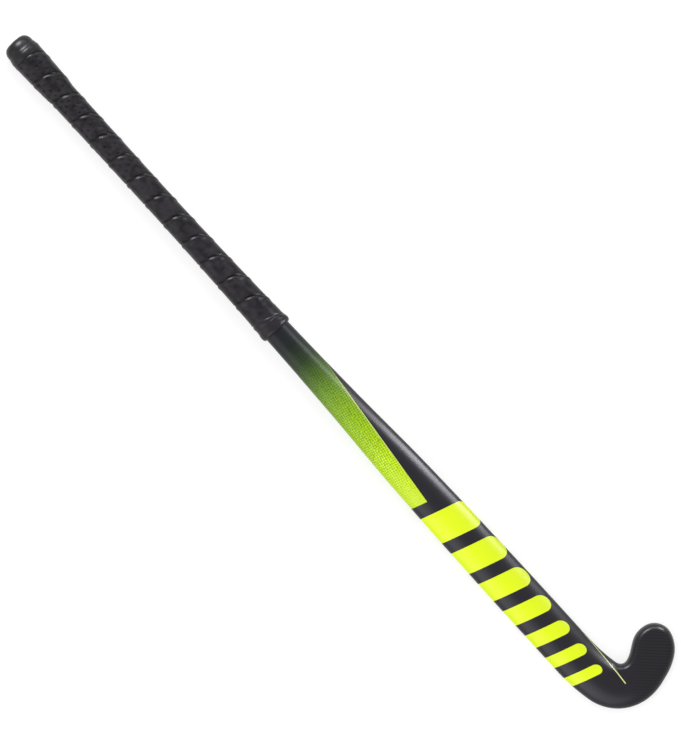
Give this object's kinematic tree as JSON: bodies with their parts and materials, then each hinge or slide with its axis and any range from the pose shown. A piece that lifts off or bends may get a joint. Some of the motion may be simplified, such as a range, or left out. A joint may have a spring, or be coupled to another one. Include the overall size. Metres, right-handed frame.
{
  "type": "indoor hockey stick",
  "caption": "Slim composite hockey stick with a short curved hook, a flat playing face, a rounded back, a gentle bow and a taped handle.",
  "frame": {"origin": "bottom centre of the box of the stick as it lies on its flat playing face", "axes": "+X from the butt to the hook, +Y to the toe side, +Z from the flat face to the rounded back"},
  "size_m": [0.927, 0.1126, 0.0428],
  "materials": {
    "painted_laminate": "black lacquered carbon laminate with a green fade and yellow bars under clear coat",
    "bare_laminate": "uncoated carbon laminate",
    "foam": "rigid expanding foam",
    "plug": "plain sealed wood",
    "cap": "glossy black rubber",
    "sleeve": "closed-cell cushion sleeve",
    "grip": "soft black polyurethane grip with a dimpled upper part",
    "finishing_tape": "black vinyl tape"
  },
  "bodies": {
    "root": {"stick_shell": "painted_laminate", "spar_web": "bare_laminate", "toe_side_core": "foam", "heel_side_core": "foam", "head_core": "foam", "handle_plug": "plug", "butt_cap": "cap", "flare_sleeve": "sleeve", "grip_tape": "grip", "finishing_tape": "finishing_tape"}
  },
  "joints": []
}
